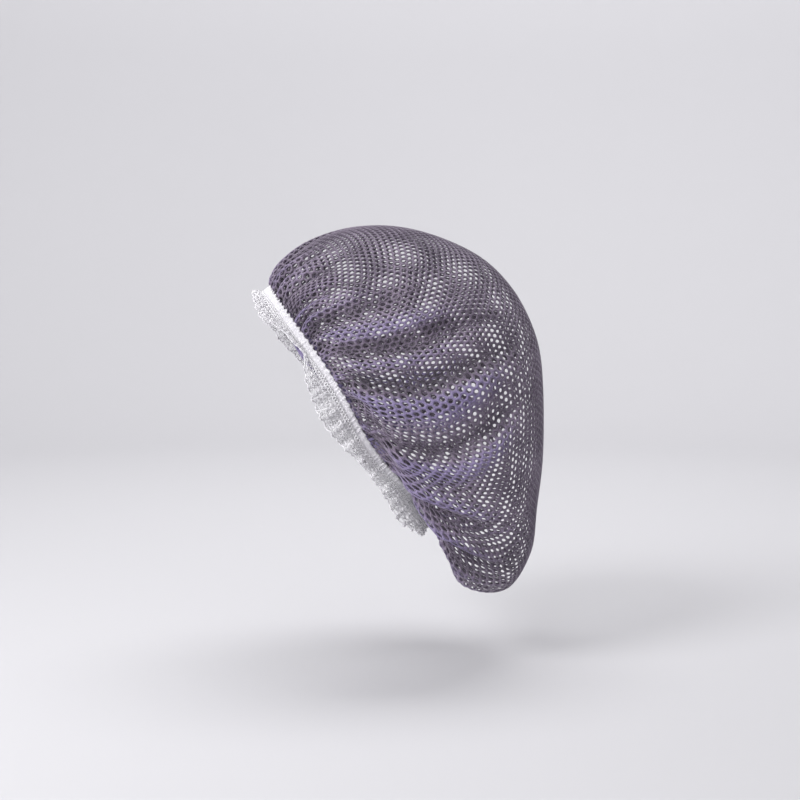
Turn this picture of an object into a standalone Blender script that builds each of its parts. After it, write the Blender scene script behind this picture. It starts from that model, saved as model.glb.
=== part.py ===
"""A hairnet: a mesh bag gathered onto a hem, with a gathered heading and a lace frill round the face.

Metres, +Z up. The face side looks towards -Y and the wearer's left is +X. The origin is the inside
of the crown, where the net rests on the head.
"""

import math

import bmesh
import bpy
from mathutils import Vector

# The bag
NET_DEPTH = 0.212  # from the edge at the forehead to the back
NET_HEIGHT = 0.285  # from the crown down to the lowest fold
NET_WIDTH = 0.180  # at its widest, over the ears
NET_WALL = 0.0012
FOLD_HEIGHT = 0.007  # how far the largest swag stands out
FOLD_WIDTH = 0.009  # from the largest swag's top to where it has mostly fallen away
GATHER_HEIGHT = 0.0016
GATHER_FULL = 0.04  # share of the way to the back where the gathers are at their height
GATHER_REACH = 0.22  # share of the way to the back where the gathers have died out

# The run of every fold
FOLD_RISE = 0.25  # share of its length over which it rises
FOLD_FADE = 0.6  # share of its length over which it fades
FOLD_SPREAD = 0.6  # share by which it is wider at its end
CREASE_AWAY = 1.7  # from its top to the crease beside it, in its own widths

# The coarse gaps of the net, staggered from row to row
GAPS_AROUND = 24
GAP_ROWS = 5
GAP_ROUNDING = 0.3  # how far a gap's corners are drawn in, in faces
GAP_FACES = 2  # faces across a gap, each way
STRAND_COLUMNS = 2  # faces between two gaps of a row
STRAND_ROWS = 1  # faces between two rows of gaps
EDGE_ROWS = 3  # faces from the edge to the middle of the first gaps

# The hem, a channel turned up all round the face opening
HEM_WIDTH = 0.0092
HEM_THICKNESS = 0.0022
HEM_SIDES = 6
HEM_DIP = 0.006  # how far the hem dips towards the face below each ear
DIP_TURN = 104  # degrees round from the forehead
DIP_SPREAD = 20  # degrees

# The gathered heading that is sewn over the hem
HEADING_WIDTH = 0.0065
HEADING_THICKNESS = 0.0015
RIB_HEIGHT = 0.0003

# The lace frill
LACE_WIDTH = 0.018  # from the heading to the frill's free edge, at its widest
LACE_WALL = 0.001
LACE_FLARE = 12  # degrees
RUFFLES = 48
RUFFLE_HEIGHT = 0.0035
SCALLOP_DEPTH = 0.0016

# The place at the left temple where the frill is tucked and the hem shows
TUCK_TURN = 60  # degrees round from the forehead
TUCK_SPREAD = 5  # degrees
TUCK_BULGE = 0.0022  # how far the hem stands forward there

SEWN_GAP = 0.0003  # between neighbouring pieces

# One row for each section of the bag, from its edge to its back. The upper and lower points are
# shares of the depth and the height, measured from the crown. Egg makes the upper half wider than
# the lower, and bow bends the section's sides back, as a share of the depth.
SECTION_COLUMNS = "along upper_y upper_z lower_y lower_z half_width egg bow".split()
SECTIONS = (
    (0.00, -0.368, -0.166, 0.227, -0.800, 0.82, 0.06, 0.016),
    (0.08, -0.326, -0.105, 0.288, -0.861, 0.89, 0.08, 0.004),
    (0.18, -0.224, -0.043, 0.345, -0.969, 0.97, 0.12, 0.000),
    (0.30, -0.077, -0.002, 0.498, -0.992, 1.00, 0.15, 0.000),
    (0.42, 0.084, 0.003, 0.587, -0.895, 0.98, 0.12, 0.000),
    (0.55, 0.252, -0.027, 0.608, -0.769, 0.89, 0.08, 0.000),
    (0.68, 0.406, -0.084, 0.625, -0.649, 0.74, 0.04, 0.000),
    (0.80, 0.514, -0.165, 0.626, -0.533, 0.55, 0.00, 0.000),
    (0.91, 0.584, -0.262, 0.622, -0.432, 0.31, 0.00, 0.000),
    (1.00, 0.617, -0.346, 0.617, -0.346, 0.00, 0.00, 0.000),
)

# One row for each fold that runs back from the edge. Side is 1 on the wearer's left and -1 on the
# right, and the turns are degrees from the forehead round to the nape, where the fold starts,
# at its middle and where it ends. Height and width are shares of the largest swag's, and crease
# is how deep the valley below it is, or above it where negative.
FOLD_COLUMNS = "side turn_from turn_mid turn_to along_from along_to height width crease".split()
FOLDS = (
    (1, 21, 21, 22, 0.00, 0.24, 0.35, 0.6, 0.4),
    (1, 32, 31, 29, 0.00, 0.27, 0.40, 0.6, 0.5),
    (1, 42, 41, 40, 0.00, 0.30, 0.40, 0.6, 0.5),
    (1, 51, 50, 47, 0.00, 0.38, 0.45, 0.7, 0.4),
    (1, 61, 62, 60, 0.00, 0.62, 0.70, 0.9, 0.5),
    (1, 69, 72, 70, 0.00, 0.64, 0.55, 0.7, -0.4),
    (1, 80, 86, 87, 0.00, 0.74, 1.00, 1.2, -0.7),
    (1, 100, 105, 107, 0.02, 0.70, 0.90, 1.0, -0.6),
    (1, 111, 116, 136, 0.04, 0.46, 0.80, 0.9, 0.6),
    (1, 120, 130, 150, 0.04, 0.38, 0.80, 0.8, 0.6),
    (1, 140, 150, 164, 0.00, 0.34, 0.60, 0.8, 0.4),
    (-1, 24, 25, 23, 0.00, 0.26, 0.40, 0.6, 0.4),
    (-1, 38, 36, 35, 0.00, 0.30, 0.40, 0.6, 0.5),
    (-1, 50, 52, 50, 0.00, 0.46, 0.55, 0.8, 0.5),
    (-1, 64, 67, 66, 0.00, 0.60, 0.70, 0.9, 0.5),
    (-1, 78, 82, 81, 0.00, 0.70, 0.90, 1.1, -0.6),
    (-1, 95, 99, 102, 0.02, 0.72, 0.95, 1.1, -0.6),
    (-1, 108, 114, 126, 0.04, 0.52, 0.75, 0.9, 0.6),
    (-1, 122, 131, 152, 0.04, 0.40, 0.80, 0.8, 0.6),
    (-1, 142, 153, 166, 0.00, 0.34, 0.60, 0.8, 0.4),
    (0, 180, 180, 180, 0.04, 0.36, 0.60, 1.4, 0.3),
)

# One row for each turn, in degrees round from the forehead, where the frill's width is known, as a
# share of its widest.
FRILL_COLUMNS = "turn width".split()
FRILL = (
    (0, 0.30),
    (20, 0.55),
    (34, 0.66),
    (46, 0.25),
    (TUCK_TURN - 7, 0.14),
    (TUCK_TURN, 0.11),
    (TUCK_TURN + 8, 0.61),
    (78, 0.89),
    (86, 0.97),
    (95, 0.80),
    (108, 0.50),
    (122, 0.64),
    (140, 0.89),
    (160, 0.53),
    (192, 0.53),
    (215, 0.83),
    (236, 0.61),
    (262, 0.93),
    (289, 0.75),
    (312, 0.92),
    (340, 0.58),
    (360, 0.30),
)

BAG_COLUMNS = GAPS_AROUND * (GAP_FACES + STRAND_COLUMNS)
BAG_ROWS = EDGE_ROWS + GAP_ROWS * (GAP_FACES + STRAND_ROWS)

ALONG_STEP = 0.004  # for slopes
TURN_STEP = 0.01  # for slopes
SAME_POINT = 1e-6


def table(names, rows):
    """The columns of a table, by name."""
    return dict(zip(names, zip(*rows)))


SECTION = table(SECTION_COLUMNS, SECTIONS)
FRILL_WIDTHS = table(FRILL_COLUMNS, FRILL)


def smooth_between(stations, values, at):
    """A smooth curve through the values at the stations, read at one place."""
    last = len(stations) - 1
    left = max(0, min(last - 1, sum(1 for station in stations if station <= at) - 1))

    def slope(index):
        before, after = max(0, index - 1), min(last, index + 1)
        return (values[after] - values[before]) / (stations[after] - stations[before])

    span = stations[left + 1] - stations[left]
    share = (at - stations[left]) / span
    rise = share * share * (3 - 2 * share)
    return (
        values[left] * (1 - rise)
        + values[left + 1] * rise
        + slope(left) * span * share * (1 - share) ** 2
        - slope(left + 1) * span * share * share * (1 - share)
    )


def ease(share):
    """0 up to the start and 1 from the end, smooth between."""
    share = max(0.0, min(1.0, share))
    return share * share * (3 - 2 * share)


def degrees_from_forehead(turn):
    """The turn in degrees, from -180 to 180."""
    return (math.degrees(turn) + 180) % 360 - 180


def section(along):
    """One section between the edge (0) and the back (1).

    Gives its sizes by name, its uppermost and lowest points and the direction square to it, backwards.
    """
    sizes = {
        name: smooth_between(SECTION["along"], SECTION[name], along)
        for name in SECTION_COLUMNS[1:]
    }
    upper = Vector((0, sizes["upper_y"] * NET_DEPTH, sizes["upper_z"] * NET_HEIGHT))
    lower = Vector((0, sizes["lower_y"] * NET_DEPTH, sizes["lower_z"] * NET_HEIGHT))
    backward = Vector((0, upper.z - lower.z, lower.y - upper.y)).normalized()
    return sizes, upper, lower, backward


def smooth_bag(along, turn):
    """The bag's outer face without its folds. Turn is 0 at the forehead and pi at the nape."""
    sizes, upper, lower, backward = section(along)
    half_width = sizes["half_width"] * NET_WIDTH / 2 * (1 + sizes["egg"] * math.cos(turn))
    from_dip = (abs(degrees_from_forehead(turn)) - DIP_TURN) / DIP_SPREAD
    dip = HEM_DIP * math.exp(-from_dip * from_dip) * (1 - ease(along / GATHER_REACH))
    return (
        (upper + lower) / 2
        + (upper - lower) / 2 * math.cos(turn)
        + backward * (sizes["bow"] * NET_DEPTH * math.sin(turn) ** 2 - dip)
        + Vector((half_width * math.sin(turn), 0, 0))
    )


def outward(along, turn):
    """The direction square to the smooth bag, pointing out."""
    at = max(ALONG_STEP, min(1 - 2 * ALONG_STEP, along))
    back = smooth_bag(at + ALONG_STEP, turn) - smooth_bag(at - ALONG_STEP, turn)
    sideways = smooth_bag(at, turn + TURN_STEP) - smooth_bag(at, turn - TURN_STEP)
    return back.cross(sideways).normalized()


def folds(along, turn):
    """How far the folds lift the net, as a share of the largest swag's height."""
    degrees = degrees_from_forehead(turn)
    lift = 0.0
    for row in FOLDS:
        fold = dict(zip(FOLD_COLUMNS, row))
        start, end = fold["along_from"], fold["along_to"]
        share = (along - start) / (end - start)
        if not 0 < share < 1:
            continue
        side = fold["side"] or math.copysign(1, degrees)
        path = smooth_between(
            (0, 0.5, 1), (fold["turn_from"], fold["turn_mid"], fold["turn_to"]), share
        )
        across = math.radians(degrees * side - path) * NET_HEIGHT / 2
        across /= FOLD_WIDTH * fold["width"] * (1 + FOLD_SPREAD * share)
        valley = across - math.copysign(CREASE_AWAY, fold["crease"])
        shape = math.exp(-across * across) - abs(fold["crease"]) * math.exp(-valley * valley)
        run = ease(share / FOLD_RISE) * ease((1 - share) / FOLD_FADE)
        lift += fold["height"] * shape * run
    return lift


def gathers(turn):
    """The gathers of the hem from -1 to 1, one for every two columns of the bag."""
    return math.cos(turn * BAG_COLUMNS / 2)


def bag_point(along, turn):
    """A point of the bag's outer face with its folds and gathers."""
    gathered = ease(along / GATHER_FULL) * ease(1 - along / GATHER_REACH) * gathers(turn)
    lift = FOLD_HEIGHT * folds(along, turn) + GATHER_HEIGHT * gathered
    return smooth_bag(along, turn) + outward(along, turn) * lift


def opening_point(turn, forward, out):
    """A point by the face opening: so far forward of the bag's edge, and so far out from it."""
    backward = section(0)[-1]
    tangent = smooth_bag(0, turn + TURN_STEP) - smooth_bag(0, turn - TURN_STEP)
    outwards = tangent.cross(backward).normalized()
    return smooth_bag(0, turn) - backward * forward + outwards * out


def rolled_grid(columns, rows, place, gaps=()):
    """A grid rolled round the opening, each of its points put where place(turn, row share) says.

    A gap is the (column, row) of a point that is taken out with the four faces round it.
    """
    mesh = bmesh.new()
    bmesh.ops.create_grid(mesh, x_segments=columns, y_segments=rows, size=0.5)
    taken_out = []
    for point in mesh.verts:
        column_at = (point.co.x + 0.5) * columns
        row_at = (point.co.y + 0.5) * rows
        cell = (round(column_at) % columns, round(row_at))
        if cell in gaps:
            taken_out.append(point)
        for side in (-1, 1):
            for end in (-1, 1):
                if ((cell[0] + side) % columns, cell[1] + end) in gaps:
                    column_at += side * GAP_ROUNDING
                    row_at += end * GAP_ROUNDING
        point.co = place(2 * math.pi * column_at / columns, row_at / rows)
    bmesh.ops.delete(mesh, geom=taken_out, context="VERTS")
    bmesh.ops.remove_doubles(mesh, verts=mesh.verts, dist=SAME_POINT)
    bmesh.ops.recalc_face_normals(mesh, faces=mesh.faces)
    return mesh


def material(name, colour, roughness):
    made = bpy.data.materials.new(name)
    made.use_nodes = True
    shader = made.node_tree.nodes["Principled BSDF"]
    shader.inputs["Base Color"].default_value = (*colour, 1)
    shader.inputs["Roughness"].default_value = roughness
    shader.inputs["Metallic"].default_value = 0
    return made


def piece(name, mesh, finish, wall=0):
    """A named object from a bmesh, with a wall towards the inside if it has one."""
    data = bpy.data.meshes.new(name)
    mesh.to_mesh(data)
    mesh.free()
    data.shade_smooth()
    data.materials.append(finish)
    made = bpy.data.objects.new(name, data)
    bpy.context.scene.collection.objects.link(made)
    if wall:
        solidify = made.modifiers.new("wall", "SOLIDIFY")
        solidify.thickness = wall
        solidify.offset = -1
    return made


def net_bag(finish):
    """The bag: one sheet gathered onto the opening and closed at the back, pierced by its gaps."""
    apart = GAP_FACES + STRAND_COLUMNS
    gaps = {
        (
            (apart * number + apart // 2 * (row % 2)) % BAG_COLUMNS,
            EDGE_ROWS + row * (GAP_FACES + STRAND_ROWS),
        )
        for row in range(GAP_ROWS)
        for number in range(GAPS_AROUND)
    }
    mesh = rolled_grid(
        BAG_COLUMNS, BAG_ROWS, lambda turn, share: bag_point(share, turn), gaps
    )
    return piece("net_bag", mesh, finish, NET_WALL)


def hem_casing(finish):
    """The turned hem, a flat round-edged ring. It shows most where the frill is tucked."""

    def place(turn, share):
        from_tuck = (math.degrees(turn) % 360 - TUCK_TURN) / TUCK_SPREAD
        width = HEM_WIDTH + TUCK_BULGE * math.exp(-from_tuck * from_tuck)
        angle = 2 * math.pi * share
        forward = SEWN_GAP + width * (1 + math.cos(angle)) / 2
        return opening_point(turn, forward, HEM_THICKNESS * (math.sin(angle) - 1) / 2)

    return piece("hem_casing", rolled_grid(BAG_COLUMNS, HEM_SIDES, place), finish)


def heading_band(finish):
    """The gathered heading on the outside of the hem, with a rib for each gather."""
    # The section's corners, from the hem's side round to the outer side
    corners = ((0, 0), (1, 0), (1, 1), (0, 1))

    def place(turn, share):
        across, up = corners[round(share * len(corners)) % len(corners)]
        height = (HEADING_THICKNESS + RIB_HEIGHT * gathers(turn)) * up
        return opening_point(turn, SEWN_GAP + HEADING_WIDTH * across, SEWN_GAP + height)

    return piece("heading_band", rolled_grid(BAG_COLUMNS, len(corners), place), finish)


def lace_ruffle(finish):
    """The frill, sewn on in front of the heading and ruffled more and more towards its free edge."""
    root = HEADING_WIDTH + 2 * SEWN_GAP
    free_from = max(root, HEM_WIDTH + TUCK_BULGE + SEWN_GAP)

    def place(turn, share):
        width = smooth_between(
            FRILL_WIDTHS["turn"], FRILL_WIDTHS["width"], math.degrees(turn) % 360
        )
        scallop = SCALLOP_DEPTH * abs(math.sin(turn * RUFFLES / 2))
        forward = root + (LACE_WIDTH * width + scallop) * share
        free = max(0.0, forward - free_from)
        wave = RUFFLE_HEIGHT * math.sin(turn * RUFFLES) * free / LACE_WIDTH
        flare = math.tan(math.radians(LACE_FLARE)) * free
        return opening_point(turn, forward, SEWN_GAP + LACE_WALL + flare + wave)

    mesh = rolled_grid(RUFFLES * 4, 2, place)
    return piece("lace_ruffle", mesh, finish, LACE_WALL)


for old in list(bpy.data.objects):
    bpy.data.objects.remove(old)

purple = material("purple_net", (0.10, 0.08, 0.17), 0.85)
hem_purple = material("purple_hem", (0.12, 0.10, 0.21), 0.85)
white = material("white_heading", (0.72, 0.70, 0.74), 0.8)
lace = material("white_lace", (0.75, 0.73, 0.77), 0.75)
net_bag(purple)
hem_casing(hem_purple)
heading_band(white)
lace_ruffle(lace)
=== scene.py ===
"""A mesh hairnet with a gathered heading and a lace frill, in metres, as it is worn."""

import math

import bmesh
import bpy
import numpy as np
from mathutils import Matrix, Vector
from mathutils.bvhtree import BVHTree
from mathutils.kdtree import KDTree


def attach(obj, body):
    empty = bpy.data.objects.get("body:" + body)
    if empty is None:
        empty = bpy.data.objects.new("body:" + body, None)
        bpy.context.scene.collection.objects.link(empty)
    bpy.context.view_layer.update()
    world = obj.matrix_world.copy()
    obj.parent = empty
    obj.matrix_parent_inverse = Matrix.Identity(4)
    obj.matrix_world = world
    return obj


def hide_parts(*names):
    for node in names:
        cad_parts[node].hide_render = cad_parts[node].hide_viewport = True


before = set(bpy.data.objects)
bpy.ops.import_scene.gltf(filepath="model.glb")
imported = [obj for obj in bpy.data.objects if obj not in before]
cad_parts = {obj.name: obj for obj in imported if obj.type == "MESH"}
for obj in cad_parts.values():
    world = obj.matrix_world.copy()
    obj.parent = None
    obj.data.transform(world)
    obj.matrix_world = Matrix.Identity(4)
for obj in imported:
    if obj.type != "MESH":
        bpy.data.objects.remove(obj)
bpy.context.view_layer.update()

# The camera looks at the wearer's left side from a metre away, a little above level. The studio is
# a pale cove: a round floor that sweeps up into a low wall, under large soft lights.
CAMERA_DISTANCE = 1.0
CAMERA_AZIMUTH = 87
CAMERA_ELEVATION = 4.5
CAMERA_LENS = 57.7
LOOKED_AT = Vector((0, 0.0222, -0.1337))
FLOOR_Z = -0.336
COVE_RADIUS = 2.4
COVE_SWEEP = 0.9
COVE_TOP = 1.3
COVE_COLOUR = (0.56, 0.555, 0.575)

azimuth, elevation = math.radians(CAMERA_AZIMUTH), math.radians(CAMERA_ELEVATION)
towards_camera = Vector((
    math.sin(azimuth) * math.cos(elevation),
    -math.cos(azimuth) * math.cos(elevation),
    math.sin(elevation),
))
camera = bpy.data.objects.new("camera", bpy.data.cameras.new("camera"))
camera.data.lens = CAMERA_LENS
camera.data.clip_end = 20
camera.location = LOOKED_AT + towards_camera * CAMERA_DISTANCE
camera.rotation_mode = "QUATERNION"
camera.rotation_quaternion = (-towards_camera).to_track_quat("-Z", "Y")
bpy.context.scene.collection.objects.link(camera)
bpy.context.scene.camera = camera

# Where, how wide and how strong each soft light is, and the angle it spreads over
LIGHT_COLUMNS = "name x y z aim_x aim_z width power spread".split()
LIGHTS = (
    ("key", 0.8, -0.9, 0.9, 0.0, -0.13, 0.6, 16, 180),
    ("front_low", 0.7, -1.1, -0.05, 0.0, -0.20, 0.45, 2.2, 90),
    ("low", 1.10, 0.10, -0.17, 0.0, -0.20, 0.25, 0.5, 90),
    ("fill", 1.3, 0.9, 0.4, 0.0, -0.13, 1.2, 2, 180),
    ("top", -0.1, 0.3, 1.5, 0.0, -0.13, 1.0, 2.5, 180),
    ("wall", -0.6, 0.2, 1.9, -2.3, 0.3, 2.0, 46, 180),
)
for row in LIGHTS:
    light = dict(zip(LIGHT_COLUMNS, row))
    lamp = bpy.data.lights.new(light["name"], "AREA")
    lamp.shape = "DISK"
    lamp.size = light["width"]
    lamp.energy = light["power"]
    lamp.spread = math.radians(light["spread"])
    made = bpy.data.objects.new(light["name"], lamp)
    made.location = (light["x"], light["y"], light["z"])
    made.rotation_mode = "QUATERNION"
    aim = Vector((light["aim_x"], LOOKED_AT.y, light["aim_z"]))
    made.rotation_quaternion = (aim - made.location).to_track_quat("-Z", "Y")
    bpy.context.scene.collection.objects.link(made)

world = bpy.data.worlds.new("studio")
world.use_nodes = True
world.node_tree.nodes["Background"].inputs["Color"].default_value = (0.82, 0.82, 0.85, 1)
world.node_tree.nodes["Background"].inputs["Strength"].default_value = 0.46
bpy.context.scene.world = world
bpy.context.scene.view_settings.view_transform = "Standard"


def new_piece(name, mesh, materials):
    """A smooth-shaded object at the origin from a bmesh."""
    data = bpy.data.meshes.new(name)
    mesh.to_mesh(data)
    mesh.free()
    data.shade_smooth()
    for finish in materials:
        data.materials.append(finish)
    made = bpy.data.objects.new(name, data)
    bpy.context.scene.collection.objects.link(made)
    return made


def new_material(name):
    """A material, its node tree and its Principled shader."""
    made = bpy.data.materials.new(name)
    made.use_nodes = True
    return made, made.node_tree, made.node_tree.nodes["Principled BSDF"]


cove = bmesh.new()
profile = [cove.verts.new((0, 0, FLOOR_Z)), cove.verts.new((COVE_RADIUS - COVE_SWEEP, 0, FLOOR_Z))]
for step in range(1, 13):
    angle = math.pi / 2 * step / 12
    profile.append(cove.verts.new((
        COVE_RADIUS - COVE_SWEEP + COVE_SWEEP * math.sin(angle),
        0,
        FLOOR_Z + COVE_SWEEP * (1 - math.cos(angle)),
    )))
profile.append(cove.verts.new((COVE_RADIUS, 0, COVE_TOP)))
rims = [cove.edges.new(pair) for pair in zip(profile, profile[1:])]
bmesh.ops.spin(
    cove, geom=profile + rims, axis=(0, 0, 1), cent=(0, 0, 0), dvec=(0, 0, 0),
    angle=2 * math.pi, steps=96, use_merge=True, use_duplicate=False,
)
bmesh.ops.remove_doubles(cove, verts=cove.verts, dist=1e-5)
bmesh.ops.recalc_face_normals(cove, faces=cove.faces)
bmesh.ops.reverse_faces(cove, faces=cove.faces)
studio, tree, shader = new_material("studio_paper")
shader.inputs["Roughness"].default_value = 0.9
shader.inputs["Base Color"].default_value = (*COVE_COLOUR, 1)
cove_object = new_piece("studio_cove", cove, [studio])

# The bag of coarse purple knitted mesh: polyester thread looped into six-sided holes. One piece,
# it is drawn together onto the hem all round, so it hangs in swags with tucks between them, and
# its slack gathers low at the nape. It is shown in two halves, left and right.
NET_DEPTH = 0.212
NET_HEIGHT = 0.285
NET_WIDTH = 0.180
FOLD_HEIGHT = 0.0085
FOLD_WIDTH = 0.009
FOLD_RISE = 0.25
FOLD_FADE = 0.6
FOLD_SPREAD = 0.6
FOLD_BACK = 1.1
FOLD_STEEP = 0.62  # the side that drops into the crease
CREASE_AWAY = 1.15
CREASE_WIDTH = 0.55
GATHER_REACH = 0.22  # share of the way to the back over which the edge's dip fades
GATHER_COUNT = 46
GATHER_HEIGHT = 0.0028
GATHER_LENGTH = 0.30
HEM_DIP = 0.006
DIP_TURN = 104
DIP_SPREAD = 20

SECTION_COLUMNS = "along upper_y upper_z lower_y lower_z half_width egg bow".split()
SECTIONS = (
    (0.00, -0.368, -0.166, 0.227, -0.800, 0.82, 0.06, 0.016),
    (0.08, -0.326, -0.105, 0.288, -0.861, 0.89, 0.08, 0.004),
    (0.18, -0.224, -0.043, 0.345, -0.969, 0.97, 0.12, 0.000),
    (0.30, -0.077, -0.002, 0.498, -0.992, 1.00, 0.15, 0.000),
    (0.42, 0.084, 0.003, 0.587, -0.895, 0.98, 0.12, 0.000),
    (0.55, 0.252, -0.027, 0.608, -0.769, 0.89, 0.08, 0.000),
    (0.68, 0.406, -0.084, 0.625, -0.649, 0.74, 0.04, 0.000),
    (0.80, 0.514, -0.165, 0.626, -0.533, 0.55, 0.00, 0.000),
    (0.91, 0.584, -0.262, 0.622, -0.432, 0.31, 0.00, 0.000),
    (1.00, 0.617, -0.346, 0.617, -0.346, 0.00, 0.00, 0.000),
)

# One row for each fold, as in the solids, with how far the mesh beside it may be drawn together,
# as a share of its free width, before it tucks under. A tuck of 0 has none.
FOLD_COLUMNS = "side turn_from turn_mid turn_to along_from along_to height width crease tuck".split()
FOLDS = (
    (1, 21, 21, 22, 0.00, 0.24, 0.35, 0.6, 0.4, 0.56),
    (1, 32, 31, 29, 0.00, 0.27, 0.40, 0.6, 0.5, 0.56),
    (1, 42, 41, 40, 0.00, 0.30, 0.40, 0.6, 0.5, 0.58),
    (1, 51, 50, 47, 0.00, 0.38, 0.45, 0.7, 0.4, 0.70),
    (1, 61, 62, 60, 0.00, 0.62, 0.70, 0.9, 0.5, 0.76),
    (1, 69, 72, 70, 0.00, 0.64, 0.55, 0.7, -0.4, 0),
    (1, 80, 86, 87, 0.00, 0.74, 1.00, 1.2, -0.7, 0.80),
    (1, 100, 105, 107, 0.02, 0.70, 0.90, 1.0, -0.6, 0.80),
    (1, 111, 116, 136, 0.04, 0.46, 0.80, 0.9, 0.6, 0.80),
    (1, 120, 130, 150, 0.04, 0.38, 0.80, 0.8, 0.6, 0.76),
    (1, 140, 150, 164, 0.00, 0.34, 0.60, 0.8, 0.4, 0.72),
    (-1, 24, 25, 23, 0.00, 0.26, 0.40, 0.6, 0.4, 0.56),
    (-1, 38, 36, 35, 0.00, 0.30, 0.40, 0.6, 0.5, 0.58),
    (-1, 50, 52, 50, 0.00, 0.46, 0.55, 0.8, 0.5, 0.70),
    (-1, 64, 67, 66, 0.00, 0.60, 0.70, 0.9, 0.5, 0.76),
    (-1, 78, 82, 81, 0.00, 0.70, 0.90, 1.1, -0.6, 0),
    (-1, 95, 99, 102, 0.02, 0.72, 0.95, 1.1, -0.6, 0.80),
    (-1, 108, 114, 126, 0.04, 0.52, 0.75, 0.9, 0.6, 0.80),
    (-1, 122, 131, 152, 0.04, 0.40, 0.80, 0.8, 0.6, 0.76),
    (-1, 142, 153, 166, 0.00, 0.34, 0.60, 0.8, 0.4, 0.72),
    (0, 180, 180, 180, 0.04, 0.36, 0.60, 1.4, 0.3, 0),
)
SECTION = dict(zip(SECTION_COLUMNS, np.array(SECTIONS).T))


def smooth_between(stations, values, at):
    """A smooth curve through the values at the stations, read at many places."""
    stations, values, at = (np.asarray(x, float) for x in (stations, values, at))
    last = len(stations) - 1
    before = np.maximum(np.arange(last + 1) - 1, 0)
    after = np.minimum(np.arange(last + 1) + 1, last)
    slopes = (values[after] - values[before]) / (stations[after] - stations[before])
    left = np.clip(np.searchsorted(stations, at, side="right") - 1, 0, last - 1)
    span = stations[left + 1] - stations[left]
    share = (at - stations[left]) / span
    rise = share * share * (3 - 2 * share)
    return (
        values[left] * (1 - rise)
        + values[left + 1] * rise
        + slopes[left] * span * share * (1 - share) ** 2
        - slopes[left + 1] * span * share * share * (1 - share)
    )


def ease(share):
    """0 up to the start and 1 from the end, smooth between."""
    share = np.clip(share, 0, 1)
    return share * share * (3 - 2 * share)


def degrees_from_forehead(turn):
    """The turn in degrees, from -180 to 180."""
    return (np.degrees(turn) + 180) % 360 - 180


def unit(vectors):
    """The vectors at length 1."""
    return vectors / np.maximum(np.linalg.norm(vectors, axis=-1, keepdims=True), 1e-12)


def smooth_bag(along, turn):
    """The bag's outer face without its folds, and the direction square to each section, backwards."""
    along, turn = np.broadcast_arrays(np.asarray(along, float), np.asarray(turn, float))
    size = {name: smooth_between(SECTION["along"], SECTION[name], along) for name in SECTION_COLUMNS[1:]}
    nothing = np.zeros_like(along)
    upper = np.stack([nothing, size["upper_y"] * NET_DEPTH, size["upper_z"] * NET_HEIGHT], -1)
    lower = np.stack([nothing, size["lower_y"] * NET_DEPTH, size["lower_z"] * NET_HEIGHT], -1)
    across = upper - lower
    backward = unit(np.stack([nothing, across[..., 2], -across[..., 1]], -1))
    half_width = size["half_width"] * NET_WIDTH / 2 * (1 + size["egg"] * np.cos(turn))
    from_dip = (np.abs(degrees_from_forehead(turn)) - DIP_TURN) / DIP_SPREAD
    dip = HEM_DIP * np.exp(-from_dip ** 2) * (1 - ease(along / GATHER_REACH))
    place = (
        (upper + lower) / 2
        + across / 2 * np.cos(turn)[..., None]
        + backward * (size["bow"] * NET_DEPTH * np.sin(turn) ** 2 - dip)[..., None]
    )
    place[..., 0] += half_width * np.sin(turn)
    return place, backward


def fold_path(fold, share):
    """Where a fold's top runs, in degrees from the forehead on its own side."""
    return smooth_between((0, 0.5, 1), (fold["turn_from"], fold["turn_mid"], fold["turn_to"]), share)


def folds(along, turn):
    """How far the folds lift the net, as a share of the largest swag's height."""
    degrees = degrees_from_forehead(turn)
    lift = np.zeros(np.broadcast(along, turn).shape)
    for row in FOLDS:
        fold = dict(zip(FOLD_COLUMNS, row))
        share = (along - fold["along_from"]) / (fold["along_to"] - fold["along_from"])
        side = fold["side"] or np.sign(degrees)
        inside = np.clip(share, 0, 1)
        across = np.radians(degrees * side - fold_path(fold, inside)) * NET_HEIGHT / 2
        across = across / (FOLD_WIDTH * fold["width"] * (1 + FOLD_SPREAD * inside))
        across = across * math.copysign(1, fold["crease"])
        crest = np.exp(-(across / np.where(across > 0, FOLD_STEEP, FOLD_BACK)) ** 2)
        valley = (across - CREASE_AWAY) / CREASE_WIDTH
        shape = crest - abs(fold["crease"]) * np.exp(-valley ** 2)
        run = ease(share / FOLD_RISE) * ease((1 - share) / FOLD_FADE)
        lift += fold["height"] * shape * run
    return lift


def gathers(along, turn):
    """The fine gathers by the hem, uneven in spacing, length and height, in metres."""
    uneven = 1.3 * np.sin(5 * turn + 0.7) + 1.1 * np.sin(11 * turn + 2.1) + 0.7 * np.sin(23 * turn)
    length = GATHER_LENGTH * (0.80 + 0.25 * np.sin(17 * turn + 1.3) + 0.20 * np.sin(31 * turn + 0.4))
    strength = 0.75 + 0.25 * np.sin(13 * turn + 2.9) + 0.2 * np.sin(29 * turn + 1.1)
    run = ease(along / 0.02) * ease(1 - along / length)
    front = 1 + 0.9 * np.exp(-(degrees_from_forehead(turn) / 55) ** 2)
    wave = 2 * np.abs(np.sin((GATHER_COUNT * turn + uneven) / 2)) - 1.2
    return GATHER_HEIGHT * front * strength * run * wave


# The net is laid out as a flat sheet whose middle is at the crown's back, where the line through
# the middle of the face opening, square to the hem, comes out. From a point inside, every
# direction meets the bag once, so each flat point has a place: a share of the way to the hem,
# and a share of the way round.
INSIDE = np.array((0, 0.045, -0.135))
ROWS_TO_HEM = 240
ORDER_ROW = 60  # the row where the tucks are read to put them in order
TURNS_ROUND = 1200
axis = smooth_bag(0.0, 0.0)[1]
to_forehead = np.array((0, -axis[2], axis[1]))
to_left = np.array((1.0, 0, 0))


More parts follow.
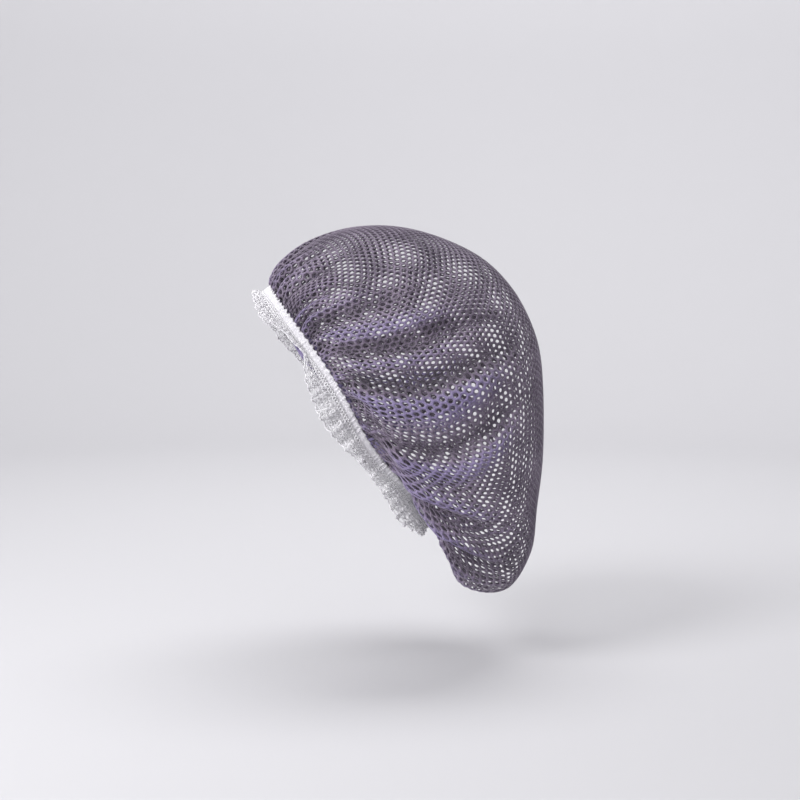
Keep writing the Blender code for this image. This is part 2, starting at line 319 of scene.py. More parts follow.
def direction(away, round_axis):
    """The direction at an angle away from the axis, turned round it from the forehead."""
    return (
        axis * np.cos(away)[..., None]
        + (to_forehead * np.cos(round_axis)[..., None] + to_left * np.sin(round_axis)[..., None])
        * np.sin(away)[..., None]
    )


bag_alongs = np.linspace(0, 1, 181)
bag_turns = np.linspace(0, 2 * np.pi, 481)
bag_grid, _ = smooth_bag(bag_alongs[:, None], bag_turns[None, :])
rows, columns = bag_grid.shape[:2]
corner = (np.arange(rows - 1)[:, None] * columns + np.arange(columns - 1)).ravel()
quads = np.stack([corner, corner + 1, corner + columns + 1, corner + columns], -1)
bag_tree = BVHTree.FromPolygons(bag_grid.reshape(-1, 3).tolist(), quads.tolist())

hem_line, _ = smooth_bag(0.0, np.linspace(0, 2 * np.pi, 1441)[:-1])
from_inside = unit(hem_line - INSIDE)
hem_away = np.arccos(from_inside @ axis)
hem_round = np.arctan2(from_inside @ to_left, from_inside @ to_forehead) % (2 * np.pi)
order = np.argsort(hem_round)
rounds = np.linspace(0, 2 * np.pi, TURNS_ROUND, endpoint=False)
reach_away = np.interp(rounds, hem_round[order], hem_away[order], period=2 * np.pi)
shares = np.linspace(0, 1, ROWS_TO_HEM)
rays = direction(shares[:, None] * reach_away * 0.9995, rounds[None, :] + 0 * shares[:, None])
hits = [bag_tree.ray_cast(Vector(INSIDE), Vector(ray)) for ray in rays.reshape(-1, 3)]
met = np.array([hit[0] for hit in hits])
met_face = np.array([hit[2] for hit in hits])
row_at, column_at = met_face // (columns - 1), met_face % (columns - 1)
start = bag_grid[row_at, column_at]
along_edge = bag_grid[row_at + 1, column_at] - start
turn_edge = bag_grid[row_at, column_at + 1] - start
offset = met - start
aa, bb = (along_edge ** 2).sum(-1), (turn_edge ** 2).sum(-1)
ab = (along_edge * turn_edge).sum(-1)
ao, bo = (along_edge * offset).sum(-1), (turn_edge * offset).sum(-1)
apart = np.maximum(aa * bb - ab * ab, 1e-20)
met_along = bag_alongs[row_at] + np.clip((ao * bb - bo * ab) / apart, 0, 1) * bag_alongs[1]
met_turn = bag_turns[column_at] + np.clip((bo * aa - ao * ab) / apart, 0, 1) * bag_turns[1]
lift = FOLD_HEIGHT * folds(met_along, met_turn) + gathers(met_along, met_turn)


def even_rows(values, lengths, places):
    """Values given at uneven lengths along the first axis, read at even places instead."""
    flat = values.reshape(len(values), -1)
    kept = [
        np.interp(places * lengths[-1, at // (flat.shape[1] // lengths.shape[1])],
                  lengths[:, at // (flat.shape[1] // lengths.shape[1])], flat[:, at])
        for at in range(flat.shape[1])
    ]
    return np.stack(kept, -1).reshape(len(places), *values.shape[1:])


def run_lengths(points):
    """The length from the start along the first axis of a grid of points."""
    steps = np.linalg.norm(np.diff(points, axis=0), axis=-1)
    return np.concatenate([np.zeros((1, points.shape[1])), np.cumsum(steps, 0)])


packed = np.concatenate([met, lift[:, None]], -1).reshape(ROWS_TO_HEM, TURNS_ROUND, 4)
to_hem = run_lengths(packed[..., :3])
packed = even_rows(packed, to_hem, shares)
reach = to_hem[-1]
closed = np.concatenate([packed, packed[:, :1]], 1).transpose(1, 0, 2)
round_lengths = run_lengths(closed[..., :3])
girth = np.maximum(round_lengths[-1], 1e-6)
places_round = np.linspace(0, 1, TURNS_ROUND + 1)
net_table = even_rows(closed[:, 1:], round_lengths[:, 1:], places_round).transpose(1, 0, 2)
net_table = np.concatenate([np.broadcast_to(closed[0, 0], (1, TURNS_ROUND + 1, 4)), net_table])
smooth_net, net_lift = net_table[..., :3], net_table[..., 3]


def grid_normals(points):
    """The direction square to a grid of points that closes on itself, outwards."""
    down = np.gradient(points, axis=0)
    round_ = (np.roll(points[:, :-1], -1, 1) - np.roll(points[:, :-1], 1, 1)) / 2
    round_ = np.concatenate([round_, round_[:, :1]], 1)
    normals = unit(np.cross(down, round_))
    normals[0] = axis
    outward = np.sign(((points - INSIDE) * normals).sum(-1).mean())
    return normals * outward


smooth_normals = grid_normals(smooth_net)
folded_net = smooth_net + smooth_normals * net_lift[..., None]
folded_normals = grid_normals(folded_net)


def read_net(grid, share, round_share):
    """A grid's values at shares of the way to the hem and of the way round."""
    row = np.clip(share, 0, 1) * (ROWS_TO_HEM - 1)
    column = (round_share % 1) * TURNS_ROUND
    row_low = np.clip(row.astype(int), 0, ROWS_TO_HEM - 2)
    column_low = np.clip(column.astype(int), 0, TURNS_ROUND - 1)
    down, across = (row - row_low)[:, None], (column - column_low)[:, None]
    return (
        grid[row_low, column_low] * (1 - down) * (1 - across)
        + grid[row_low + 1, column_low] * down * (1 - across)
        + grid[row_low, column_low + 1] * (1 - down) * across
        + grid[row_low + 1, column_low + 1] * down * across
    )


# The tucks run in the creases beside the folds. Each is read as shares round the net.
places = KDTree(ROWS_TO_HEM * TURNS_ROUND)
for number, point in enumerate(smooth_net[:, :-1].reshape(-1, 3)):
    places.insert(point, number)
places.balance()
net_shares = np.linspace(0, 1, ROWS_TO_HEM)
tucks = []
for row in FOLDS:
    fold = dict(zip(FOLD_COLUMNS, row))
    if not fold["tuck"]:
        continue
    share = np.linspace(0, 1, 25)
    crease = CREASE_AWAY * FOLD_WIDTH * fold["width"] * (1 + FOLD_SPREAD * share) / (NET_HEIGHT / 2)
    degrees = fold_path(fold, share) + math.copysign(1, fold["crease"]) * np.degrees(crease)
    alongs = fold["along_from"] + share * (fold["along_to"] - fold["along_from"])
    line, _ = smooth_bag(alongs, np.radians(degrees) * fold["side"])
    nearest = np.array([places.find(point)[1] for point in line])
    share_at = net_shares[nearest // TURNS_ROUND]
    round_at = (nearest % TURNS_ROUND) / TURNS_ROUND
    order = np.argsort(share_at)
    tucks.append({
        "line": np.interp(net_shares, share_at[order], round_at[order]),
        "tuck": fold["tuck"],
        "over": -fold["side"] if fold["crease"] > 0 else fold["side"],
    })
nape = {"line": np.full(ROWS_TO_HEM, 0.5), "tuck": 0.7, "over": 1}
forehead = {"line": np.zeros(ROWS_TO_HEM), "tuck": 0.55, "over": 1}
tucks = sorted(tucks + [nape, forehead], key=lambda tuck: tuck["line"][ORDER_ROW])

MESH_PITCH = 0.0055
STRAND_WIDTH = 0.0022
STRAND_HEIGHT = 0.0012
HOLE_ROUNDNESS = 0.75
TUCK_OVERLAP = 0.011
UNDER_DEPTH = 0.0018
OVER_HEIGHT = 0.0005
LAP_PAINTED_LIGHT = 8  # how much more painted light a lap on top gets in its colour than its height alone gives
HEM_DRAW = 0.16  # how much closer the mesh is drawn at the hem itself
NET_COLOUR_DEEP = (0.062, 0.044, 0.078)
NET_COLOUR_WORN = (0.245, 0.195, 0.275)
NET_COLOUR_PAINTED_CREST = (0.205, 0.168, 0.330)  # a paler lavender painted on the tops of the folds and of the laps on top, as painted highlight

turn_step = 2 * np.pi / TURNS_ROUND
flat_length = reach.sum() * turn_step
flat_share_at = np.concatenate([[0], np.cumsum(reach + np.roll(reach, -1)) / 2 * turn_step / flat_length])


def flat_places(flat):
    """The share of the way to the hem and of the way round, on the flat sheet."""
    turn = np.arctan2(flat[:, 1], flat[:, 0]) % (2 * np.pi)
    reach_there = np.interp(turn, np.append(rounds, 2 * np.pi), np.append(reach, reach[0]))
    share = np.hypot(flat[:, 0], flat[:, 1]) / reach_there
    return share, np.interp(turn, np.append(rounds, 2 * np.pi), flat_share_at)


def hang(flat, before, after):
    """Shares on the bag for points of the flat sheet between two tucks, with how far they dip.

    Also whether each point belongs to this width of the net.
    """
    share, round_share = flat_places(flat)
    flat_from, flat_to = before["line"][ORDER_ROW], after["line"][ORDER_ROW]
    past_start = flat_to <= flat_from  # the turns start again inside this width
    flat_to = flat_to + past_start
    middle = (flat_from + flat_to) / 2
    round_share = middle + (round_share - middle + 0.5) % 1 - 0.5
    first = np.interp(share, net_shares, before["line"])
    last = np.interp(share, net_shares, after["line"]) + past_start
    around = np.interp(share, net_shares, girth)
    room = (last - first) * around
    free = np.maximum(share, 1e-3) * flat_length
    natural = room / (free * (flat_to - flat_from))
    closest = (before["tuck"] + after["tuck"]) / 2 - HEM_DRAW * ease((share - 0.8) / 0.2)
    drawn = np.maximum(natural, closest)
    off_middle = drawn * (round_share - middle) * free
    opened = ease((closest - natural) / 0.04)
    side = np.sign(off_middle)
    over = np.where(side < 0, before["over"] == 1, after["over"] == -1)
    to_edge = room / 2 - np.abs(off_middle)
    overlap = np.where(over, 0.35, 0.65) * TUCK_OVERLAP * opened
    tucked = ease(1 - (to_edge + overlap) / (0.004 + TUCK_OVERLAP * 0.6)) * opened
    dip = tucked * np.where(over, OVER_HEIGHT, -UNDER_DEPTH)
    inside = np.where(
        natural < closest,
        to_edge > -overlap,
        np.abs(round_share - middle) <= (flat_to - flat_from) / 2,
    )
    return share, (first + last) / 2 + off_middle / np.maximum(around, 1e-6), dip, inside


def flat_cells():
    """The middles of the mesh's holes on the flat sheet, in staggered rows."""
    far = reach.max() + MESH_PITCH
    count = int(far / MESH_PITCH) + 2
    column, row = np.meshgrid(np.arange(-2 * count, 2 * count), np.arange(-2 * count, 2 * count))
    cells = np.stack([(column + row % 2 / 2) * MESH_PITCH, row * MESH_PITCH * math.sqrt(0.75)], -1)
    cells = cells.reshape(-1, 2) + MESH_PITCH * 0.31
    share, _ = flat_places(cells)
    return cells[share < 1]


def mesh_of_cells(cells, pitch, strand, sides, radius_of):
    """A flat mesh of six-sided cells round their middles, each with a hole of its own radius.

    The points along the strands' middles are marked as the ridge.
    """
    net = bmesh.new()
    ridge = net.verts.layers.int.new("ridge")
    for x, y in cells:
        ring = bmesh.ops.create_circle(
            net, cap_ends=True, segments=sides, radius=pitch / math.sqrt(3),
            matrix=Matrix.Translation((x, y, 0)),
        )["verts"]
        for point in ring:
            angle = math.degrees(math.atan2(point.co.y - y, point.co.x - x))
            if round(angle / 30) % 2 == 0:
                point.co = Vector((x, y, 0)).lerp(point.co, math.cos(math.radians(30)))
    bmesh.ops.remove_doubles(net, verts=net.verts, dist=pitch * 0.05)
    for point in net.verts:
        point[ridge] = 1
    holes = list(net.faces)
    bmesh.ops.inset_individual(net, faces=holes, thickness=strand / 2, use_even_offset=True)
    for face in holes:
        middle = face.calc_center_median()
        radius = radius_of(middle.x, middle.y)
        for point in face.verts:
            point[ridge] = 0
            round_place = middle + (point.co - middle).normalized() * radius
            point.co = point.co.lerp(round_place, HOLE_ROUNDNESS)
    bmesh.ops.delete(net, geom=holes, context="FACES")
    return net


def place_mesh(net, place, out, flat):
    """Puts each point of a flat mesh in its place, and keeps its flat place and outward direction."""
    out_layer = net.verts.layers.float_vector.new("out")
    flat_layer = net.verts.layers.float_vector.new("flat")
    for point, its_place, its_out, its_flat in zip(net.verts, place, out, flat):
        point.co = its_place
        point[out_layer] = its_out
        point[flat_layer] = its_flat


def give_height(net, height):
    """Turns a single sheet into strands: high along their middles, closed along their edges."""
    ridge = net.verts.layers.int["ridge"]
    out = net.verts.layers.float_vector["out"]
    top = net.verts[:]
    border = [edge for edge in net.edges if edge.is_boundary and all(end[ridge] for end in edge.verts)]
    copies = bmesh.ops.duplicate(net, geom=net.faces[:])
    bottom_of = copies["vert_map"]
    for edge in border:
        one, other = edge.verts
        net.faces.new((one, other, bottom_of[other], bottom_of[one]))
    for point in top:
        if point[ridge]:
            point.co += point[out] * height / 2
            bottom_of[point].co -= point[out] * height / 2
    turned = [item for item in copies["geom"] if isinstance(item, bmesh.types.BMFace)]
    bmesh.ops.reverse_faces(net, faces=turned)
    bmesh.ops.remove_doubles(net, verts=net.verts, dist=1e-7)
    bmesh.ops.holes_fill(net, edges=[edge for edge in net.edges if edge.is_boundary], sides=12)
    stray = [face for face in net.faces if all(edge.is_boundary for edge in face.edges)]
    bmesh.ops.delete(net, geom=stray, context="FACES")
    bmesh.ops.recalc_face_normals(net, faces=net.faces)
    net.verts.layers.int.remove(ridge)
    net.verts.layers.float_vector.remove(net.verts.layers.float_vector["out"])


def net_half(name, widths, cells, finish):
    """One half of the bag, from the widths of net between neighbouring tucks.

    Also the flat area of its knit, with the holes left out.
    """
    half = bmesh.new()
    area = 0
    hole_radius = (MESH_PITCH - STRAND_WIDTH) / 2
    for before, after in widths:
        mine = cells[hang(cells, before, after)[3]]
        part = mesh_of_cells(mine, MESH_PITCH, STRAND_WIDTH, 12, lambda x, y: hole_radius)
        area += sum(face.calc_area() for face in part.faces)
        flat = np.array([point.co[:2] for point in part.verts])
        share, round_share, dip, _ = hang(flat, before, after)
        out = unit(read_net(folded_normals, share, round_share))
        place = read_net(folded_net, share, round_share) + out * (dip - STRAND_HEIGHT / 2)[:, None]
        # This height also sets painted shade and painted highlight in the colour, through the flat
        # attribute's third value; a lap on top gets extra painted light
        lift = read_net(net_lift[..., None], share, round_share)[:, 0]
        lift = lift + np.where(dip > 0, LAP_PAINTED_LIGHT, 1) * dip
        place_mesh(part, place, out, np.column_stack([flat, lift]))
        holder = bpy.data.meshes.new("width")
        part.to_mesh(holder)
        part.free()
        half.from_mesh(holder)
        bpy.data.meshes.remove(holder)
    bmesh.ops.remove_doubles(half, verts=half.verts, dist=6e-5)
    give_height(half, STRAND_HEIGHT)
    return new_piece(name, half, [finish]), area


def effect(name, inputs, outputs):
    """A node group with its named inputs and outputs, and its two end nodes."""
    group = bpy.data.node_groups.new(name, "ShaderNodeTree")
    for label, kind, value in inputs:
        socket = group.interface.new_socket(label, in_out="INPUT", socket_type="NodeSocket" + kind)
        if value is not None:
            socket.default_value = value
    for label, kind in outputs:
        group.interface.new_socket(label, in_out="OUTPUT", socket_type="NodeSocket" + kind)
    return group, group.nodes.new("NodeGroupInput"), group.nodes.new("NodeGroupOutput")


def node(tree, kind, settings=(), **inputs):
    """A node of a tree, with its settings, and its inputs as values or as sockets to join."""
    made = tree.nodes.new("ShaderNode" + kind)
    for name, value in dict(settings).items():
        setattr(made, name, value)
    for name, value in inputs.items():
        socket = made.inputs[int(name[1:])] if name[0] == "_" and name[1:].isdigit() else made.inputs[name]
        if isinstance(value, bpy.types.NodeSocket):
            tree.links.new(value, socket)
        else:
            socket.default_value = value
    return made


# Yarn: fine plied thread with its twist, loose fibres and an uneven dye
yarn, given, wanted = effect(
    "yarn",
    [("Place", "Vector", None), ("Deep", "Color", (0, 0, 0, 1)), ("Worn", "Color", (1, 1, 1, 1)),
     ("Ply", "Float", 0.0005)],
    [("Color", "Color"), ("Height", "Float"), ("Roughness", "Float")],
)
across = node(yarn, "Math", {"operation": "DIVIDE"}, _0=1.0, _1=given.outputs["Ply"])
fine = node(yarn, "VectorMath", {"operation": "SCALE"},
            _0=given.outputs["Place"], Scale=across.outputs[0])
ply = node(yarn, "TexWave", {"wave_type": "BANDS", "bands_direction": "DIAGONAL"},
           Vector=fine.outputs[0], Scale=0.55, Distortion=5.0, Detail=2.0, **{"Detail Scale": 1.3})
fibres = node(yarn, "TexNoise", {"noise_dimensions": "3D"},
              Vector=fine.outputs[0], Scale=1.7, Detail=3.0)
dye = node(yarn, "TexNoise", {"noise_dimensions": "3D"},
           Vector=given.outputs["Place"], Scale=38.0, Detail=3.0)
speckle = node(yarn, "TexNoise", {"noise_dimensions": "3D"},
               Vector=given.outputs["Place"], Scale=420.0, Detail=2.0)
height = node(yarn, "Math", {"operation": "MULTIPLY_ADD"},
              _0=ply.outputs["Fac"], _1=0.6, _2=fibres.outputs["Fac"])
worn = node(yarn, "Math", {"operation": "MULTIPLY_ADD"},
            _0=ply.outputs["Fac"], _1=0.35, _2=dye.outputs["Fac"])
worn = node(yarn, "Math", {"operation": "MULTIPLY_ADD"},
            _0=speckle.outputs["Fac"], _1=0.5, _2=worn.outputs[0])
worn = node(yarn, "MapRange", {"clamp": True},
            Value=worn.outputs[0], **{"From Min": 0.62, "From Max": 1.25})
colour = node(yarn, "Mix", {"data_type": "RGBA"},
              _0=worn.outputs[0], _6=given.outputs["Deep"], _7=given.outputs["Worn"])
rough = node(yarn, "MapRange", {"clamp": True},
             Value=fibres.outputs["Fac"], **{"To Min": 0.50, "To Max": 0.72})
yarn.links.new(colour.outputs[2], wanted.inputs["Color"])
yarn.links.new(height.outputs[0], wanted.inputs["Height"])
yarn.links.new(rough.outputs[0], wanted.inputs["Roughness"])


def yarn_material(name, deep, worn, ply, bump, sheen, glow=0.0):
    """A knitted finish from the yarn effect, with its own colours; glow lets light through thin cloth."""
    made, tree, shader = new_material(name)
    place = node(tree, "TexCoord")
    group = tree.nodes.new("ShaderNodeGroup")
    group.node_tree = yarn
    tree.links.new(place.outputs["Object"], group.inputs["Place"])
    group.inputs["Deep"].default_value = (*deep, 1)
    group.inputs["Worn"].default_value = (*worn, 1)
    group.inputs["Ply"].default_value = ply
    raised = node(tree, "Bump", Height=group.outputs["Height"], Strength=bump, Distance=0.0003)
    tree.links.new(raised.outputs[0], shader.inputs["Normal"])
    tree.links.new(group.outputs["Roughness"], shader.inputs["Roughness"])
    tree.links.new(group.outputs["Color"], shader.inputs["Base Color"])
    shader.inputs["Sheen Weight"].default_value = sheen
    shader.inputs["Subsurface Weight"].default_value = glow
    shader.inputs["Subsurface Radius"].default_value = (1, 1, 1)
    shader.inputs["Subsurface Scale"].default_value = 0.002
    shader.inputs["Sheen Roughness"].default_value = 0.4
    return made, tree, group, shader


purple, tree, group, shader = yarn_material(
    "knitted_purple", NET_COLOUR_DEEP, NET_COLOUR_WORN, 0.0005, 0.6, 0.25
)
# Painted shade and painted highlight: the colour is darkened in the creases and lightened on the tops of the
# folds, from the height kept in the flat attribute
kept = node(tree, "Attribute", {"attribute_name": "flat"})
parts = node(tree, "SeparateXYZ", _0=kept.outputs["Vector"])
painted_shade = node(tree, "MapRange", {"clamp": True}, Value=parts.outputs["Z"],
             **{"From Min": -0.0035, "From Max": 0.003, "To Min": 0.50, "To Max": 1.15})
painted_shade_colour = node(tree, "VectorMath", {"operation": "SCALE"}, _0=group.outputs["Color"], Scale=painted_shade.outputs[0])
# Painted highlight: a paler lavender is mixed in on the tops of the folds and of the laps on top
crest = node(tree, "MapRange", {"clamp": True, "interpolation_type": "SMOOTHSTEP"}, Value=parts.outputs["Z"],
             **{"From Min": 0.001, "From Max": 0.0075, "To Max": 0.7})
with_painted_light = node(tree, "Mix", {"data_type": "RGBA"}, _0=crest.outputs[0], _6=painted_shade_colour.outputs[0],
              _7=(*NET_COLOUR_PAINTED_CREST, 1))
tree.links.new(with_painted_light.outputs[2], shader.inputs["Base Color"])

ring = tucks + [tucks[0]]
widths = list(zip(ring, ring[1:]))
start_way = next(number for number, tuck in enumerate(tucks) if tuck is forehead)
half_way = (next(number for number, tuck in enumerate(tucks) if tuck is nape) - start_way) % len(tucks)
widths = widths[start_way:] + widths[:start_way]
cells = flat_cells()
for name, own in (("net_left", widths[:half_way]), ("net_right", widths[half_way:])):
    half, area = net_half(name, own, cells, purple)
    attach(half, "root")
    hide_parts("net_bag")

# The hem: the mesh turned up on itself into a flat channel all round the face opening, and run
# round with thread. It shows where the frill is tucked at the left temple, and from the inside.
HEM_WIDTH = 0.0092
HEM_THICKNESS = 0.0022
HEM_RIPPLE = 0.0004
TUCK_TURN = 60
TUCK_SPREAD = 5
TUCK_BULGE = 0.0010
SEWN_GAP = 0.0003
HEM_COLOUR_DEEP = (0.080, 0.062, 0.150)
HEM_COLOUR_WORN = (0.240, 0.200, 0.360)


def opening_point(turn, forward, out):
    """Points by the face opening: so far forward of the bag's edge, and so far out from it."""
    edge, backward = smooth_bag(0.0, turn)
    step = 0.01
    tangent = smooth_bag(0.0, turn + step)[0] - smooth_bag(0.0, turn - step)[0]
    outwards = unit(np.cross(tangent, backward))
    return edge - backward * np.asarray(forward)[..., None] + outwards * np.asarray(out)[..., None]


def rolled_band(columns, rows, place):
    """A closed band round the opening, with every point placed from its turn and row share."""
    band = bmesh.new()
    bmesh.ops.create_grid(band, x_segments=columns, y_segments=rows, size=0.5)
    at = np.array([point.co[:2] for point in band.verts]) + 0.5
    column = np.round(at[:, 0] * columns) % columns
    row = np.round(at[:, 1] * rows)
    for point, its_place in zip(band.verts, place(2 * np.pi * column / columns, row / rows)):
        point.co = its_place
    bmesh.ops.remove_doubles(band, verts=band.verts, dist=1e-6)
    bmesh.ops.recalc_face_normals(band, faces=band.faces)
    return band


def hem_place(turn, share):
    """Places on the flat channel of the hem."""
    from_tuck = (np.degrees(turn) % 360 - TUCK_TURN) / TUCK_SPREAD
    width = HEM_WIDTH + TUCK_BULGE * np.exp(-from_tuck ** 2)
    angle = 2 * np.pi * share
    ripple = HEM_RIPPLE * (np.sin(turn * 150 + 2 * np.sin(7 * turn)) + np.sin(turn * 96 + 1.4))
    forward = SEWN_GAP + width * (1 + np.cos(angle)) / 2
    return opening_point(turn, forward, HEM_THICKNESS * (np.sin(angle) - 1) / 2 + ripple * 0.6 - 0.0002)


hem_finish = yarn_material("knitted_hem", HEM_COLOUR_DEEP, HEM_COLOUR_WORN, 0.0006, 0.8, 0.25)[0]
hem = new_piece("turned_hem", rolled_band(900, 14, hem_place), [hem_finish])
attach(hem, "root")
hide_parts("hem_casing")

# The heading: a soft white knitted edging with an elastic inside, gathered over the hem. Its back
# edge runs out in small wavy teeth over the mesh, and fine ribs cross it where it is drawn up.
HEADING_WIDTH = 0.0065
HEADING_THICKNESS = 0.0015
TEETH = 118
FINE_RIBS = 153
TOOTH_DEPTH = 0.0011
HEADING_BACK = 0.0016  # how far the teeth reach back over the mesh, at their middle
HEADING_CRINKLE = 0.00045
UNDER_LACE = 0.0032  # the seam allowance that runs on under the frill
WHITE_SHADE = (0.58, 0.56, 0.60)
WHITE_BRIGHT = (0.82, 0.81, 0.84)


def heading_place(turn, share):
    """Places on the heading, with its ribs across it and its teeth over the mesh behind it."""
    uneven = 0.8 * np.sin(9 * turn + 1) + 0.6 * np.sin(23 * turn + 0.3)
    tooth = np.sin(TEETH * turn + uneven)
    ribs = 0.5 * np.sin(2 * TEETH * turn + 3 * uneven) + 0.5 * np.sin(FINE_RIBS * turn + 4 * uneven + 1)
    ribs = ribs * (0.7 + 0.5 * np.sin(19 * turn + 6 * share))
    back = HEADING_BACK + TOOTH_DEPTH * tooth * (0.8 + 0.2 * np.sin(31 * turn))
    from_tuck = (np.degrees(turn) % 360 - TUCK_TURN) / TUCK_SPREAD
    front = SEWN_GAP + HEADING_WIDTH + UNDER_LACE * (1 - np.exp(-from_tuck ** 2 / 4))
    angle = 2 * np.pi * share
    side = np.cos(angle)
    # A flat section with round edges: the inner face first, the outer one swollen between its edges
    width_share = 0.5 + 0.5 * np.sign(side) * np.abs(side) ** 0.6
    upper = np.clip(np.sin(angle), 0, 1) ** 0.6
    forward = front * width_share - back * (1 - width_share)
    swell = 0.75 + 0.25 * np.sin(np.pi * np.minimum(width_share * 1.4, 1))
    swell = swell - 0.45 * ease((width_share - 0.6) / 0.3)
    crinkle = HEADING_CRINKLE * ribs * (0.4 + 0.6 * np.sin(np.pi * width_share))
    out = SEWN_GAP + (HEADING_THICKNESS * swell + crinkle) * upper
    rows = opening_point(turn, np.maximum(forward, 0), out)
    # Behind the bag's edge it lies on the mesh
    onto = np.maximum(-forward, 0)
    along = onto / 0.2
    bag = smooth_bag(along, turn)[0]
    away = unit(np.cross(
        smooth_bag(0.02, turn + 0.01)[0] - smooth_bag(0.02, turn - 0.01)[0],
        smooth_bag(0.03, turn)[0] - smooth_bag(0.01, turn)[0],
    ))
    lean = np.clip(onto / 0.0012, 0, 1)[:, None]
    edge_out = unit(opening_point(turn, 0 * turn, 0 * turn + 0.001) - opening_point(turn, 0 * turn, 0 * turn))
    outwards = unit(edge_out * (1 - lean) + away * lean)
    over_net = bag + outwards * (out * (1 - 0.35 * lean[:, 0]) + 0.0004)[:, None]
    return np.where((forward < 0)[:, None], over_net, rows)


white_tape = yarn_material("gathered_white", WHITE_SHADE, WHITE_BRIGHT, 0.0007, 0.9, 0.2, 0.3)[0]
heading = new_piece("heading_tape", rolled_band(1888, 14, heading_place), [white_tape])
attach(heading, "root")
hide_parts("heading_band")

# The frill: sheer white machine lace, gathered onto the heading's front edge, with small open cells,
# a generic petal in each scallop worked solid, and a corded free edge.
LACE_WIDTH = 0.018
LACE_FLARE = 12
RUFFLES = 48
RUFFLE_HEIGHT = 0.0035
LACE_FLAT_LENGTH = 0.864
LACE_FLAT_WIDTH = 0.0150
LACE_PITCH = 0.0029
LACE_STRAND = 0.00062
LACE_HEIGHT = 0.00055
LACE_RUFFLE = 0.0026
SCALLOPS = 96
SCALLOP_DEPTH = 0.0016
FRILL_COLUMNS = "turn width".split()
FRILL = (
    (0, 0.30),
    (20, 0.55),
    (34, 0.66),
    (46, 0.25),
    (53, 0.20),
    (60, 0.11),
    (68, 0.61),
    (78, 0.89),
    (86, 0.97),
    (95, 0.80),
    (108, 0.50),
    (122, 0.64),
    (140, 0.89),
    (160, 0.53),
    (192, 0.53),
    (215, 0.83),
    (236, 0.61),
    (262, 0.93),
    (289, 0.75),
    (312, 0.92),
    (340, 0.58),
    (360, 0.30),
)
frill = dict(zip(FRILL_COLUMNS, np.array(FRILL, float).T))
LACE_ROOT = HEADING_WIDTH - 0.0010  # it is sewn down on the heading's front edge
LACE_FREE_FROM = max(LACE_ROOT, HEM_WIDTH + TUCK_BULGE + SEWN_GAP)


def lace_place(flat):
    """Places on the ruffled frill for points of the flat lace."""
    turn = 2 * np.pi * flat[:, 0] / LACE_FLAT_LENGTH
    share = flat[:, 1] / LACE_FLAT_WIDTH
    width = smooth_between(frill["turn"], frill["width"], np.degrees(turn) % 360)
    uneven = 0.5 * np.sin(5 * turn + 0.4) + 0.4 * np.sin(13 * turn + 1.9)
    crimp = 0.5 * np.sin(2 * RUFFLES * turn + 3 * uneven + 0.8) + 0.1 * np.sin(3 * RUFFLES * turn + 2)
    forward = LACE_ROOT + LACE_WIDTH * width * share
    free = np.maximum(0, forward - LACE_FREE_FROM)
    loose = free / LACE_WIDTH
    swing = np.sin(turn * RUFFLES + uneven) + crimp
    height = LACE_RUFFLE * ease((forward - LACE_ROOT) / 0.009) * (0.8 + 0.3 * np.sin(7 * turn + 2))
    over_hem = 1 - ease((forward - LACE_FREE_FROM) / 0.006)
    wave = height * (swing + 1.35 * over_hem) + RUFFLE_HEIGHT * loose * 0.4 * swing
    near_root = 0.0005 * np.sin(3 * RUFFLES * turn + 2 * uneven) * ease(share / 0.2) * (1 - loose)
    flare = math.tan(math.radians(LACE_FLARE)) * free
    lean = turn + 0.016 * loose * np.cos(turn * RUFFLES + uneven) / 1.2
    sewn = SEWN_GAP + HEADING_THICKNESS + 0.0003 - 0.0006 * ease(share / 0.15)
    return opening_point(lean, forward, sewn + flare + wave + near_root)


def scalloped_edge(x):
    """How far the lace reaches at each place along it."""
    return LACE_FLAT_WIDTH - SCALLOP_DEPTH * (1 - np.abs(np.sin(np.pi * x * SCALLOPS / LACE_FLAT_LENGTH)))


def worked_solid(x, y):
    """Where the lace is worked solid, from 0 to 1: a band by its root, a sprig in each scallop, its rim."""
    period = LACE_FLAT_LENGTH / SCALLOPS
    across = (x / period % 1 - 0.5) * period
    root = (0.0030 + 0.0007 * math.cos(2 * math.pi * x / period) - y) / 0.0008
    sprig = 1.3 - math.hypot(across / 0.0016, (y - LACE_FLAT_WIDTH * 0.60) / 0.0022)
    leaf = 1.2 - math.hypot((abs(across) - period * 0.36) / 0.0012, (y - LACE_FLAT_WIDTH * 0.42) / 0.0024)
    rim = 0.9 - abs(y - float(scalloped_edge(x)) + 0.0012) / 0.0012
    uneven = 0.25 + 0.25 * math.sin(x * 1900 + 40 * math.sin(y * 700)) * math.cos(y * 1500 + x * 300)
    return max(uneven, min(1.0, max(root, sprig, leaf, rim)))


columns = round(LACE_FLAT_LENGTH / LACE_PITCH)
pitch = LACE_FLAT_LENGTH / columns
rows = int(LACE_FLAT_WIDTH / (pitch * math.sqrt(0.75))) + 2
column, row = np.meshgrid(np.arange(columns), np.arange(rows))
lace_cells = np.stack([(column + row % 2 / 2) * pitch, (row + 0.35) * pitch * math.sqrt(0.75)], -1)
lace_cells = lace_cells.reshape(-1, 2)
lace_cells = lace_cells[lace_cells[:, 1] < scalloped_edge(lace_cells[:, 0]) - pitch * 0.3]
open_radius = (pitch - LACE_STRAND) / 2
lace = mesh_of_cells(
    lace_cells, pitch, LACE_STRAND, 12,
    lambda x, y: open_radius * (1 - 0.78 * worked_solid(x, y)),
)
lace_area = sum(face.calc_area() for face in lace.faces)
flat = np.array([point.co[:2] for point in lace.verts])
place = lace_place(flat)
step = 0.0004
along = lace_place(flat + (step, 0)) - lace_place(flat - (step, 0))
up = lace_place(flat + (0, step)) - lace_place(flat - (0, step))
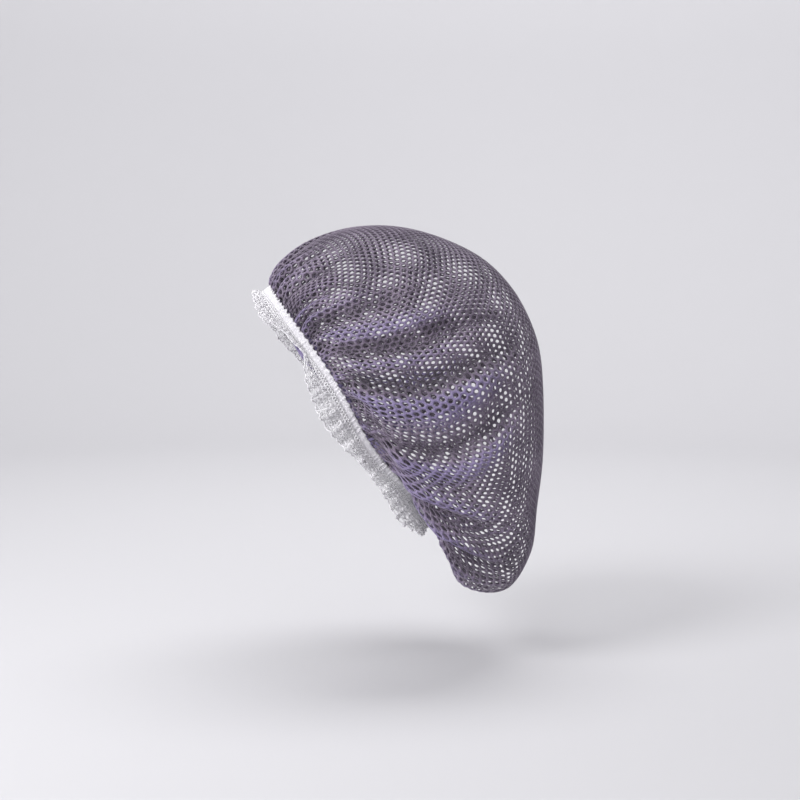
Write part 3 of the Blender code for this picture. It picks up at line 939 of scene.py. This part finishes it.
place_mesh(lace, place, unit(np.cross(up, along)), np.column_stack([flat, 0 * flat[:, 0]]))
bmesh.ops.remove_doubles(lace, verts=lace.verts, dist=2e-5)
give_height(lace, LACE_HEIGHT)
white_lace = yarn_material(
    "white_lace_thread", WHITE_SHADE, WHITE_BRIGHT, 0.00025, 0.5, 0.3, 0.5
)[0]
frill_piece = new_piece("lace_frill", lace, [white_lace])
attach(frill_piece, "root")
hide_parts("lace_ruffle")

# The outline threads: a thick thread whipped over the lace's scalloped edge, and two that cross
# each other in a chain of eyelets along the middle of the lace. They lie on its outer face.
CORD_SIDES = 6
CORD_COLUMNS = "name middle swing radius rise".split()
CORDS = (
    ("edge", 0, 0, 0.00055, 0),
    ("over", 0.60, 0.15, 0.00042, 0.0006),
    ("under", 0.60, -0.15, 0.00042, 0.0005),
)


def cord_place(turn, share, cord):
    """Places on one of the threads, for turns round the opening and shares round the thread."""
    x = turn / (2 * np.pi) * LACE_FLAT_LENGTH
    chain = LACE_FLAT_WIDTH * (cord["middle"] + cord["swing"] * np.sin(turn * SCALLOPS))
    middle = np.stack([x, chain if cord["middle"] else scalloped_edge(x)], -1)
    knots = 1 + 0.35 * np.sin(turn * SCALLOPS * 5)
    side = unit(lace_place(middle + (0, 0.0004)) - lace_place(middle - (0, 0.0004)))
    ahead = unit(lace_place(middle + (0.0004, 0)) - lace_place(middle - (0.0004, 0)))
    up = np.cross(side, ahead)
    angle = 2 * np.pi * share[:, None]
    ring = (side * np.cos(angle) + up * np.sin(angle)) * (cord["radius"] * knots)[:, None]
    return lace_place(middle) + up * cord["rise"] + ring


threads = bmesh.new()
for row in CORDS:
    cord = dict(zip(CORD_COLUMNS, row))
    band = rolled_band(SCALLOPS * 18, CORD_SIDES, lambda turn, share: cord_place(turn, share, cord))
    holder = bpy.data.meshes.new("cord")
    band.to_mesh(holder)
    band.free()
    threads.from_mesh(holder)
    bpy.data.meshes.remove(holder)
lace_threads = new_piece("lace_threads", threads, [white_lace])
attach(lace_threads, "root")
